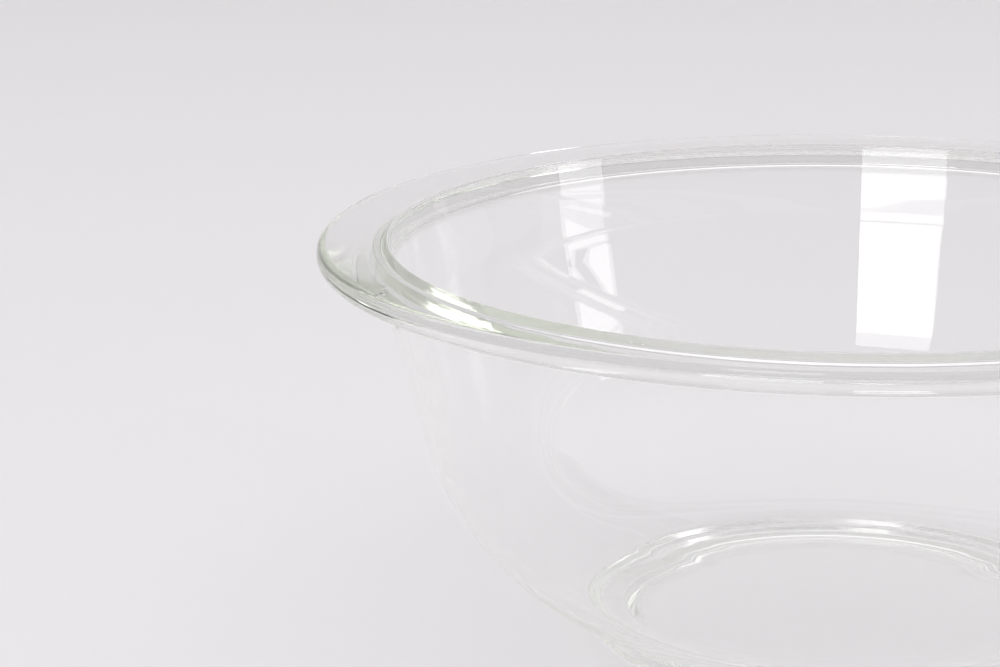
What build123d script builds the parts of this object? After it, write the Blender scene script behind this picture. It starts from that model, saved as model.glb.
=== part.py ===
from build123d import *
import math
import os

# A pressed-glass mixing bowl, in millimetres, +Z up.
# The origin is the centre of the plane that the foot stands on.
# The bowl is one solid of revolution: its half section lies in the XZ plane, with X as the radius.

# Overall size
RIM_RADIUS = 125.0
HEIGHT = 96.8

# Flange: a flat land on top, an underside that rises towards a fully rounded edge
EDGE_THICKNESS = 4.9
EDGE_ROUNDING = 0.49 * EDGE_THICKNESS
ROOT_THICKNESS = 6.0
ROOT_FILLET = 2.9

# Mouth: the corner where the flange turns down into the inner wall
LIP_RADIUS = 108.1
LIP_ROUNDING = 0.8

# Wall: a steep collar below the flange, then a straight taper towards the base
COLLAR_RADIUS = 109.8
COLLAR_BOTTOM = 75.5
WALL_RADIUS = 107.5
WALL_TAPER = 15.1
WALL_THICKNESS = 2.9
WALL_ROUNDING = 50.0
OUTER_TURN_RADIUS = 62.75
INNER_TURN_RADIUS = 55.0

# Base and foot ring
BASE_THICKNESS = 3.8
FOOT_RADIUS = 60.3
FOOT_LAND = 7.5
FOOT_HEIGHT = 2.0
FOOT_DRAFT = 3.8
FOOT_ROUNDING = 1.5
FOOT_FILLET = 2.5
RECESS_FILLET = 3.8

TAPER = math.tan(math.radians(WALL_TAPER))
FLOOR_Z = FOOT_HEIGHT + BASE_THICKNESS


def outer_radius(z):
    """Radius of the outer wall's straight stretch at height z."""
    return WALL_RADIUS - (COLLAR_BOTTOM - z) * TAPER


def inner_radius(z):
    """Radius of the inner wall's straight stretch at height z."""
    return outer_radius(z) - WALL_THICKNESS / math.cos(math.radians(WALL_TAPER))


def rounded(face, corner, radius):
    """The face with its vertex nearest to corner rounded off."""
    vertex = face.vertices().sort_by_distance(Vector(*corner))[0]
    return fillet(vertex, radius)


def shell_section():
    """Half section of the flange, wall and base, without the foot ring."""
    turns = [
        ((outer_radius(FOOT_HEIGHT), FOOT_HEIGHT), OUTER_TURN_RADIUS),
        ((WALL_RADIUS, COLLAR_BOTTOM), WALL_ROUNDING),
        ((COLLAR_RADIUS, HEIGHT - ROOT_THICKNESS), ROOT_FILLET),
        ((RIM_RADIUS, HEIGHT - EDGE_THICKNESS), EDGE_ROUNDING),
        ((RIM_RADIUS, HEIGHT), EDGE_ROUNDING),
        ((LIP_RADIUS, HEIGHT), LIP_ROUNDING),
        ((inner_radius(COLLAR_BOTTOM), COLLAR_BOTTOM), WALL_ROUNDING),
        ((inner_radius(FLOOR_Z), FLOOR_Z), INNER_TURN_RADIUS),
    ]
    corners = [corner for corner, radius in turns]
    section = make_face(Polyline((0, FOOT_HEIGHT), *corners, (0, FLOOR_Z), close=True))
    for corner, radius in turns:
        section = rounded(section, corner, radius)
    return section


def foot_section():
    """Half section of the foot ring, tall enough to run up into the base."""
    inner_low = FOOT_RADIUS - FOOT_LAND
    inner_high = inner_low - FOOT_DRAFT * FLOOR_Z / FOOT_HEIGHT
    corners = [(inner_low, 0), (FOOT_RADIUS, 0), (FOOT_RADIUS, FLOOR_Z), (inner_high, FLOOR_Z)]
    return make_face(Polyline(*corners, close=True))


def make_bowl():
    """The whole bowl: shell and foot ring as one piece of glass."""
    inner_low = FOOT_RADIUS - FOOT_LAND
    section = shell_section() + foot_section()
    section = rounded(section, (FOOT_RADIUS, FLOOR_Z), FOOT_FILLET)
    section = rounded(section, (inner_low - FOOT_DRAFT, FOOT_HEIGHT), RECESS_FILLET)
    section = rounded(section, (FOOT_RADIUS, 0), FOOT_ROUNDING)
    section = rounded(section, (inner_low, 0), FOOT_ROUNDING)
    return revolve(Plane.XZ * section, Axis.Z, 360)


bowl = make_bowl()
bowl.label = "bowl"
os.makedirs("parts", exist_ok=True)
export_step(bowl, "parts/bowl.step")
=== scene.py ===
import math

import bpy
from mathutils import Matrix, Vector, noise


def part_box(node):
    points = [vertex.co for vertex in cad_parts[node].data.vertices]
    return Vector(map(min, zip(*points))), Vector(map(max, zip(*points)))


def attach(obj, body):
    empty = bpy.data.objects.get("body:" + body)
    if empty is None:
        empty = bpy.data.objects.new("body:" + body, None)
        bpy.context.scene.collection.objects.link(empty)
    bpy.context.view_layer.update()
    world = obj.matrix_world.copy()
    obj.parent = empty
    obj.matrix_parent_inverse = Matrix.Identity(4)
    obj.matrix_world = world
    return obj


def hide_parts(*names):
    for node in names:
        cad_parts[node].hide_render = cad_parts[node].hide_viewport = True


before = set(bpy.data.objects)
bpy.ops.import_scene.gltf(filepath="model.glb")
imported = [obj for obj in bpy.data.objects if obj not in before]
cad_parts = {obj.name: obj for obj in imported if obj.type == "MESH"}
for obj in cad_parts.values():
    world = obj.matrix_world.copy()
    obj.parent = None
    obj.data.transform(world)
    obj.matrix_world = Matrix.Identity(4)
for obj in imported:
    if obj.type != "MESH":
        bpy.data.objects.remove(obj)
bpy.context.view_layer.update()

MM = 0.001
NODE = "bowl"

# The bowl's half section in millimetres, as the CAD part has it
RIM_RADIUS = 125.0
HEIGHT = 96.8
EDGE_THICKNESS = 4.9
EDGE_ROUNDING = 2.4
ROOT_THICKNESS = 6.0
ROOT_FILLET = 2.9
LIP_RADIUS = 108.1
LIP_ROUNDING = 0.8
COLLAR_RADIUS = 109.8
COLLAR_BOTTOM = 75.5
WALL_RADIUS = 107.5
WALL_TAPER = math.radians(15.1)
WALL_THICKNESS = 2.9
WALL_ROUNDING = 50.0
OUTER_TURN_RADIUS = 62.75
INNER_TURN_RADIUS = 55.0
BASE_THICKNESS = 3.8
FOOT_RADIUS = 60.3
FOOT_LAND = 7.5
FOOT_HEIGHT = 2.0
FOOT_DRAFT = 3.8
FOOT_ROUNDING = 1.5
FOOT_FILLET = 2.5
RECESS_FILLET = 3.8
FLOOR_Z = FOOT_HEIGHT + BASE_THICKNESS

# Mesh fineness
SEGMENTS = 640
ARC_STEP = math.radians(3.0)
STRAIGHT_STEP = 4.0
SAME_POINT = 1e-3

# Pressed-glass irregularities, in millimetres: a broad wave, and a lip ripple that comes in patches
WAVE_LENGTH = 45.0
WAVE_HEIGHT = 0.02
LIP_RIPPLE_LENGTH = 3.5
LIP_RIPPLE_HEIGHT = 0.14
LIP_RIPPLE_REACH = 1.6
PATCH_SHIFT = Vector((7, 3, 1))
PATCH_SHARE = 0.15
PATCH_GAIN = 3

# Seeds, the small bubbles in the flange: direction in degrees from the camera side, then radius,
# height, half length and half thickness in millimetres
SEEDS = [
    (-58.0, 118.0, 94.6, 1.0, 0.45),
    (-21.0, 112.5, 94.9, 0.45, 0.3),
    (-22.5, 112.0, 94.4, 0.3, 0.25),
    (24.0, 117.5, 94.2, 0.35, 0.25),
    (140.0, 115.0, 94.5, 0.5, 0.3),
]
SEED_WIDTH = 0.6
SEED_ROWS = 10
SEED_COLUMNS = 16

# Camera: distances in rim radii from the middle of the flange edge, angles in degrees
CAMERA_DISTANCE = 5.334
CAMERA_RISE = 12.90
CAMERA_YAW = 7.25
CAMERA_PITCH = 14.81
CAMERA_ROLL = -0.45
CAMERA_LENS = 100.8
SENSOR_WIDTH = 36.0
AIM_HEIGHT = 94.25

# Glass: absorption tint and density per metre, roughness of the foot's scuffs and of the haze,
# noise scales per metre, and the ripple bump
GLASS_IOR = 1.47
GLASS_TINT = (0.83, 0.88, 0.76, 1)
GLASS_DENSITY = 3.5
SCUFF_LOW = 0.0001
SCUFF_HIGH = 0.0009
SCUFF_ROUGHNESS = 0.35
GRAIN_SCALE = 420.0
SMEAR_SCALE = 22.0
SMEAR_LOW = 0.45
SMEAR_HIGH = 0.8
HAZE_ROUGHNESS = 0.02
RIPPLE_SCALE = 60.0
RIPPLE_STRENGTH = 0.004
RIPPLE_DEPTH = 0.0005

# Studio, in metres; a light's strength is its radiance
FLOOR_GAP = 0.0004
FLOOR_COLOUR = (0.845, 0.837, 0.843)
FLOOR_ROUGHNESS = 0.9
SWEEP_HALF_WIDTH = 3.0
SWEEP_START = 1.2
SWEEP_BEND = 0.5
SWEEP_TOP = 2.5
SWEEP_STEPS = 24
BRIGHT_SIDE = Vector((0, 0.3, 0.95)).normalized()
ROOM_COLOUR = (1, 0.985, 1, 1)
ROOM_DARK = 0.38
ROOM_BRIGHT = 1.15
SOFTBOX_PLACE = (0, 0.1, 2.2)
SOFTBOX_SIZE = (3.0, 2.4)
SOFTBOX_STRENGTH = 0.3
WINDOW_DISTANCE = 2.2
WINDOW_BAR = 0.03
WINDOW_SILL = 0.1
WINDOW_ROWS = 2

# Bounces that light trapped in thick glass needs
BOUNCES = 96


def outer_radius(z):
    """Radius of the outer wall's straight stretch at height z."""
    return WALL_RADIUS - (COLLAR_BOTTOM - z) * math.tan(WALL_TAPER)


def inner_radius(z):
    """Radius of the inner wall's straight stretch at height z."""
    return outer_radius(z) - WALL_THICKNESS / math.cos(WALL_TAPER)


def arc(centre, radius, start, end):
    """Points of an arc from angle start to angle end, the short way round."""
    sweep = (end - start + math.pi) % math.tau - math.pi
    count = max(4, math.ceil(abs(sweep) / ARC_STEP))
    angles = [start + sweep * i / count for i in range(count + 1)]
    return [(centre[0] + radius * math.cos(a), centre[1] + radius * math.sin(a)) for a in angles]


def rounded_corner(before, corner, after, radius):
    """The arc that rounds one corner of an outline."""
    here = Vector(corner)
    to_before = (Vector(before) - here).normalized()
    to_after = (Vector(after) - here).normalized()
    half = to_before.angle(to_after) / 2
    centre = here + (to_before + to_after).normalized() * radius / math.sin(half)
    first = here + to_before * radius / math.tan(half) - centre
    last = here + to_after * radius / math.tan(half) - centre
    return arc(centre, radius, math.atan2(first.y, first.x), math.atan2(last.y, last.x))


def rounded_outline(corners):
    """An open outline of (radius, height, rounding) corners with every rounding done."""
    points = [corners[0][:2]]
    for before, corner, after in zip(corners, corners[1:], corners[2:]):
        points += rounded_corner(before[:2], corner[:2], after[:2], corner[2])
    return points + [corners[-1][:2]]


def shell_outline():
    """The shell from the middle of its underside, round the flange, to the middle of its floor."""
    return rounded_outline(
        [
            (0, FOOT_HEIGHT, 0),
            (outer_radius(FOOT_HEIGHT), FOOT_HEIGHT, OUTER_TURN_RADIUS),
            (WALL_RADIUS, COLLAR_BOTTOM, WALL_ROUNDING),
            (COLLAR_RADIUS, HEIGHT - ROOT_THICKNESS, ROOT_FILLET),
            (RIM_RADIUS, HEIGHT - EDGE_THICKNESS, EDGE_ROUNDING),
            (RIM_RADIUS, HEIGHT, EDGE_ROUNDING),
            (LIP_RADIUS, HEIGHT, LIP_ROUNDING),
            (inner_radius(COLLAR_BOTTOM), COLLAR_BOTTOM, WALL_ROUNDING),
            (inner_radius(FLOOR_Z), FLOOR_Z, INNER_TURN_RADIUS),
            (0, FLOOR_Z, 0),
        ]
    )


def foot_outline():
    """The foot ring from the middle of the recess to where its outer fillet meets the outer turn."""
    turn_z = FOOT_HEIGHT + OUTER_TURN_RADIUS
    turn_r = outer_radius(turn_z) - OUTER_TURN_RADIUS / math.cos(WALL_TAPER)
    reach = OUTER_TURN_RADIUS + FOOT_FILLET
    fillet_r = FOOT_RADIUS + FOOT_FILLET
    fillet_z = turn_z - math.sqrt(reach**2 - (fillet_r - turn_r) ** 2)
    towards_turn = math.atan2(turn_z - fillet_z, turn_r - fillet_r)
    inner_low = FOOT_RADIUS - FOOT_LAND
    foot = rounded_outline(
        [
            (0, FOOT_HEIGHT, 0),
            (inner_low - FOOT_DRAFT, FOOT_HEIGHT, RECESS_FILLET),
            (inner_low, 0, FOOT_ROUNDING),
            (FOOT_RADIUS, 0, FOOT_ROUNDING),
            (FOOT_RADIUS, fillet_z, 0),
        ]
    )
    return foot[:-1] + arc((fillet_r, fillet_z), FOOT_FILLET, math.pi, towards_turn)


def with_steps(points):
    """The same outline without doubled points, its long straight stretches divided."""
    result = [points[0]]
    for point in points[1:]:
        start = Vector(result[-1])
        run = Vector(point) - start
        if run.length < SAME_POINT:
            continue
        count = math.ceil(run.length / STRAIGHT_STEP)
        result += [tuple(start + run * (i / count)) for i in range(1, count + 1)]
    return result


def bowl_outline():
    """The whole half section, from the middle of the underside to the middle of the floor."""
    foot = foot_outline()
    shell = shell_outline()
    joint = next(i for i, point in enumerate(shell) if point[0] > foot[-1][0] + SAME_POINT)
    return with_steps(foot + shell[joint:])


def irregular(radius, angle, height):
    """A point of the bowl in millimetres, moved a little as hot pressed glass flows."""
    point = Vector((radius * math.cos(angle), radius * math.sin(angle), height))
    wave = noise.noise(point / WAVE_LENGTH) * WAVE_HEIGHT
    lip_distance = math.hypot(radius - LIP_RADIUS, height - HEIGHT)
    fade = max(0.0, 1.0 - lip_distance / LIP_RIPPLE_REACH)
    patch = max(0.0, noise.noise(point / WAVE_LENGTH + PATCH_SHIFT) + PATCH_SHARE)
    ripple = noise.noise(point / LIP_RIPPLE_LENGTH) * LIP_RIPPLE_HEIGHT * fade * patch * PATCH_GAIN
    sink = wave if height > FLOOR_Z else 0.0
    outward = Vector((math.cos(angle), math.sin(angle), 0))
    return point + outward * (wave + ripple) + Vector((0, 0, ripple - abs(sink)))


def add_rings(outline, vertices, faces):
    """The surface of revolution of the outline, closed on the axis at both ends."""
    first = len(vertices)
    inner = outline[1:-1]
    for radius, height in inner:
        for k in range(SEGMENTS):
            vertices.append(irregular(radius, math.tau * k / SEGMENTS, height) * MM)
    for row in range(len(inner) - 1):
        low = first + row * SEGMENTS
        high = low + SEGMENTS
        for k in range(SEGMENTS):
            after = (k + 1) % SEGMENTS
            faces.append((low + k, low + after, high + after, high + k))
    bottom, top = len(vertices), len(vertices) + 1
    vertices += [Vector((0, 0, outline[0][1])) * MM, Vector((0, 0, outline[-1][1])) * MM]
    last = first + (len(inner) - 1) * SEGMENTS
    for k in range(SEGMENTS):
        after = (k + 1) % SEGMENTS
        faces.append((bottom, first + after, first + k))
        faces.append((top, last + k, last + after))


def add_seed(azimuth, radius, height, length, thickness, vertices, faces):
    """A lens-shaped bubble: a closed skin inside the glass that faces into the bubble."""
    rows, columns = SEED_ROWS, SEED_COLUMNS
    turn = math.radians(azimuth)
    outward = Vector((math.sin(turn), -math.cos(turn), 0))
    inward = -outward
    along = Vector((math.cos(turn), math.sin(turn), 0))
    centre = outward * radius + Vector((0, 0, height))
    first = len(vertices)
    for row in range(1, rows):
        polar = math.pi * row / rows
        for k in range(columns):
            a = math.tau * k / columns
            offset = along * length * math.sin(polar) * math.cos(a)
            offset += inward * length * SEED_WIDTH * math.sin(polar) * math.sin(a)
            offset += Vector((0, 0, thickness * math.cos(polar)))
            vertices.append((centre + offset) * MM)
    top, bottom = len(vertices), len(vertices) + 1
    up = Vector((0, 0, thickness))
    vertices += [(centre + up) * MM, (centre - up) * MM]
    last = first + (rows - 2) * columns
    for k in range(columns):
        after = (k + 1) % columns
        faces.append((top, first + after, first + k))
        faces.append((bottom, last + k, last + after))
        for row in range(rows - 2):
            low = first + row * columns
            faces.append((low + k, low + after, low + columns + after, low + columns + k))


def link(name, data):
    """A new object for the data, in the scene."""
    thing = bpy.data.objects.new(name, data)
    bpy.context.scene.collection.objects.link(thing)
    return thing


def new_nodes(material):
    """An empty node tree with a Principled shader: (nodes, links, principled, output)."""
    material.use_nodes = True
    tree = material.node_tree
    tree.nodes.clear()
    principled = tree.nodes.new("ShaderNodeBsdfPrincipled")
    output = tree.nodes.new("ShaderNodeOutputMaterial")
    tree.links.new(principled.outputs["BSDF"], output.inputs["Surface"])
    return tree.nodes, tree.links, principled, output


def noise_texture(nodes, links, place, scale, detail):
    """The strength of a noise over the object's own coordinates."""
    texture = nodes.new("ShaderNodeTexNoise")
    texture.inputs["Scale"].default_value = scale
    texture.inputs["Detail"].default_value = detail
    links.new(place.outputs["Object"], texture.inputs["Vector"])
    return texture.outputs["Fac"]


def map_range(nodes, links, value, source, target):
    """The value carried from the source range to the target range."""
    carry = nodes.new("ShaderNodeMapRange")
    carry.inputs["From Min"].default_value, carry.inputs["From Max"].default_value = source
    carry.inputs["To Min"].default_value, carry.inputs["To Max"].default_value = target
    links.new(value, carry.inputs["Value"])
    return carry


def combine(nodes, links, operation, first, second):
    """Two values joined by one operation."""
    node = nodes.new("ShaderNodeMath")
    node.operation = operation
    links.new(first, node.inputs[0])
    links.new(second, node.inputs[1])
    return node.outputs["Value"]


def glass_roughness(nodes, links, place):
    """Roughness of a grainy scuff on the foot's lowest stretch, and of faint hazy smears."""
    parts = nodes.new("ShaderNodeSeparateXYZ")
    links.new(place.outputs["Object"], parts.inputs["Vector"])
    scuffed = (SCUFF_LOW, SCUFF_HIGH)
    scuff = map_range(nodes, links, parts.outputs["Z"], scuffed, (SCUFF_ROUGHNESS, 0.0))
    grain = noise_texture(nodes, links, place, GRAIN_SCALE, 4.0)
    worn = combine(nodes, links, "MULTIPLY", scuff.outputs["Result"], grain)
    smear = noise_texture(nodes, links, place, SMEAR_SCALE, 3.0)
    haze = map_range(nodes, links, smear, (SMEAR_LOW, SMEAR_HIGH), (0.0, HAZE_ROUGHNESS))
    return combine(nodes, links, "ADD", worn, haze.outputs["Result"])


def glass_material():
    """Clear fire-polished glass: faint green in depth, hazy smears, a scuffed foot, soft ripples."""
    material = bpy.data.materials.new("clear_glass")
    nodes, links, principled, output = new_nodes(material)
    principled.inputs["Transmission Weight"].default_value = 1.0
    principled.inputs["IOR"].default_value = GLASS_IOR
    principled.inputs["Base Color"].default_value = (1, 1, 1, 1)

    absorption = nodes.new("ShaderNodeVolumeAbsorption")
    absorption.inputs["Color"].default_value = GLASS_TINT
    absorption.inputs["Density"].default_value = GLASS_DENSITY
    links.new(absorption.outputs["Volume"], output.inputs["Volume"])

    place = nodes.new("ShaderNodeTexCoord")
    links.new(glass_roughness(nodes, links, place), principled.inputs["Roughness"])

    bump = nodes.new("ShaderNodeBump")
    bump.inputs["Strength"].default_value = RIPPLE_STRENGTH
    bump.inputs["Distance"].default_value = RIPPLE_DEPTH
    links.new(noise_texture(nodes, links, place, RIPPLE_SCALE, 2.0), bump.inputs["Height"])
    links.new(bump.outputs["Normal"], principled.inputs["Normal"])
    return material


def make_bowl():
    """The glass bowl as one closed mesh, standing for the CAD node."""
    vertices, faces = [], []
    add_rings(bowl_outline(), vertices, faces)
    for seed in SEEDS:
        add_seed(*seed, vertices, faces)
    mesh = bpy.data.meshes.new("glass_bowl")
    mesh.from_pydata(vertices, [], faces)
    mesh.update()
    mesh.shade_smooth()
    bowl = link("glass_bowl", mesh)
    low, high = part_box(NODE)
    fit = (high[0] - low[0]) / (2 * RIM_RADIUS * MM)
    mesh.transform(Matrix.Scale(fit, 4))
    mesh.materials.append(glass_material())
    return bowl


def make_camera():
    """The camera at the photographed angle."""
    data = bpy.data.cameras.new("camera")
    data.sensor_width = SENSOR_WIDTH
    data.lens = CAMERA_LENS
    data.clip_start = 0.01
    camera = link("camera", data)
    rise, yaw, pitch, roll = (
        math.radians(a) for a in (CAMERA_RISE, CAMERA_YAW, CAMERA_PITCH, CAMERA_ROLL)
    )
    distance = CAMERA_DISTANCE * RIM_RADIUS * MM
    place = Vector((0, -math.cos(rise), math.sin(rise))) * distance
    place.z += AIM_HEIGHT * MM
    turn = Matrix.Rotation(yaw, 4, "Z") @ Matrix.Rotation(math.pi / 2 - pitch, 4, "X")
    camera.matrix_world = Matrix.Translation(place) @ turn @ Matrix.Rotation(roll, 4, "Z")
    bpy.context.scene.camera = camera


def plain_material(name, colour):
    """A matt studio surface."""
    material = bpy.data.materials.new(name)
    _, _, principled, _ = new_nodes(material)
    principled.inputs["Base Color"].default_value = (*colour, 1)
    principled.inputs["Roughness"].default_value = FLOOR_ROUGHNESS
    return material


def make_backdrop():
    """A pale sweep: floor, curve and back wall in one sheet."""
    line = [(-SWEEP_HALF_WIDTH, -FLOOR_GAP)]
    for i in range(SWEEP_STEPS + 1):
        a = math.pi / 2 * i / SWEEP_STEPS
        back = SWEEP_START + SWEEP_BEND * math.sin(a)
        line.append((back, SWEEP_BEND - SWEEP_BEND * math.cos(a) - FLOOR_GAP))
    line.append((SWEEP_START + SWEEP_BEND, SWEEP_TOP))
    vertices = [(x, y, z) for y, z in line for x in (-SWEEP_HALF_WIDTH, SWEEP_HALF_WIDTH)]
    faces = [(2 * i, 2 * i + 1, 2 * i + 3, 2 * i + 2) for i in range(len(line) - 1)]
    mesh = bpy.data.meshes.new("sweep")
    mesh.from_pydata(vertices, [], faces)
    mesh.update()
    mesh.shade_smooth()
    mesh.materials.append(plain_material("sweep_paper", FLOOR_COLOUR))
    link("sweep", mesh)


def area_light(name, place, facing, up, size, strength):
    """A soft rectangle of light at place that shines along facing; strength is its radiance."""
    data = bpy.data.lights.new(name, "AREA")
    data.shape = "RECTANGLE"
    data.size, data.size_y = size
    data.energy = strength * size[0] * size[1] * math.pi
    light = link(name, data)
    back = -Vector(facing).normalized()
    side = Vector(up).cross(back).normalized()
    over = back.cross(side)
    axes = Matrix((side, over, back)).transposed().to_4x4()
    light.matrix_world = Matrix.Translation(Vector(place)) @ axes
    return light


def window(name, azimuth, low, high, width, strength):
    """A tall window's panes, seen from the bowl between elevations low and high, in degrees."""
    turn = math.radians(azimuth)
    outward = Vector((math.sin(turn), -math.cos(turn), 0))
    bottom = WINDOW_DISTANCE * math.tan(math.radians(low)) + WINDOW_SILL
    top = WINDOW_DISTANCE * math.tan(math.radians(high)) + WINDOW_SILL
    span = 2 * WINDOW_DISTANCE * math.tan(math.radians(width) / 2)
    pane = (span - WINDOW_BAR, (top - bottom) / WINDOW_ROWS - WINDOW_BAR)
    for row in range(WINDOW_ROWS):
        rise = bottom + (row + 0.5) / WINDOW_ROWS * (top - bottom)
        place = outward * WINDOW_DISTANCE + Vector((0, 0, rise))
        light = area_light(f"{name}_{row}", place, -outward, (0, 0, 1), pane, strength)
        light.visible_camera = False


def make_light():
    """A room that is bright overhead and towards the backdrop, with two windows."""
    world = bpy.data.worlds.new("room")
    bpy.context.scene.world = world
    world.use_nodes = True
    nodes, links = world.node_tree.nodes, world.node_tree.links
    background = nodes["Background"]
    background.inputs["Color"].default_value = ROOM_COLOUR
    direction = nodes.new("ShaderNodeTexCoord")
    towards_bright = nodes.new("ShaderNodeVectorMath")
    towards_bright.operation = "DOT_PRODUCT"
    towards_bright.inputs[1].default_value = BRIGHT_SIDE
    links.new(direction.outputs["Generated"], towards_bright.inputs[0])
    towards = towards_bright.outputs["Value"]
    glow = map_range(nodes, links, towards, (0.0, 1.0), (ROOM_DARK, ROOM_BRIGHT))
    glow.interpolation_type = "SMOOTHSTEP"
    links.new(glow.outputs["Result"], background.inputs["Strength"])
    down, back = (0, 0, -1), (0, 1, 0)
    softbox = area_light("softbox", SOFTBOX_PLACE, down, back, SOFTBOX_SIZE, SOFTBOX_STRENGTH)
    softbox.visible_camera = False
    softbox.visible_glossy = False
    softbox.visible_transmission = False
    window("window_side", 78, -2, 22, 15, 3.0)
    window("window_front", -15.3, -2, 22, 24, 4.0)


def set_render_look():
    """Plain colour transform, and enough bounces for light trapped in thick glass."""
    scene = bpy.context.scene
    scene.view_settings.view_transform = "Standard"
    cycles = scene.cycles
    cycles.max_bounces = cycles.transmission_bounces = cycles.glossy_bounces = BOUNCES
    cycles.volume_bounces = 0
    cycles.blur_glossy = 0
    cycles.use_denoising = True


make_camera()
bowl = make_bowl()
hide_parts(NODE)
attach(bowl, "root")
make_backdrop()
make_light()
set_render_look()
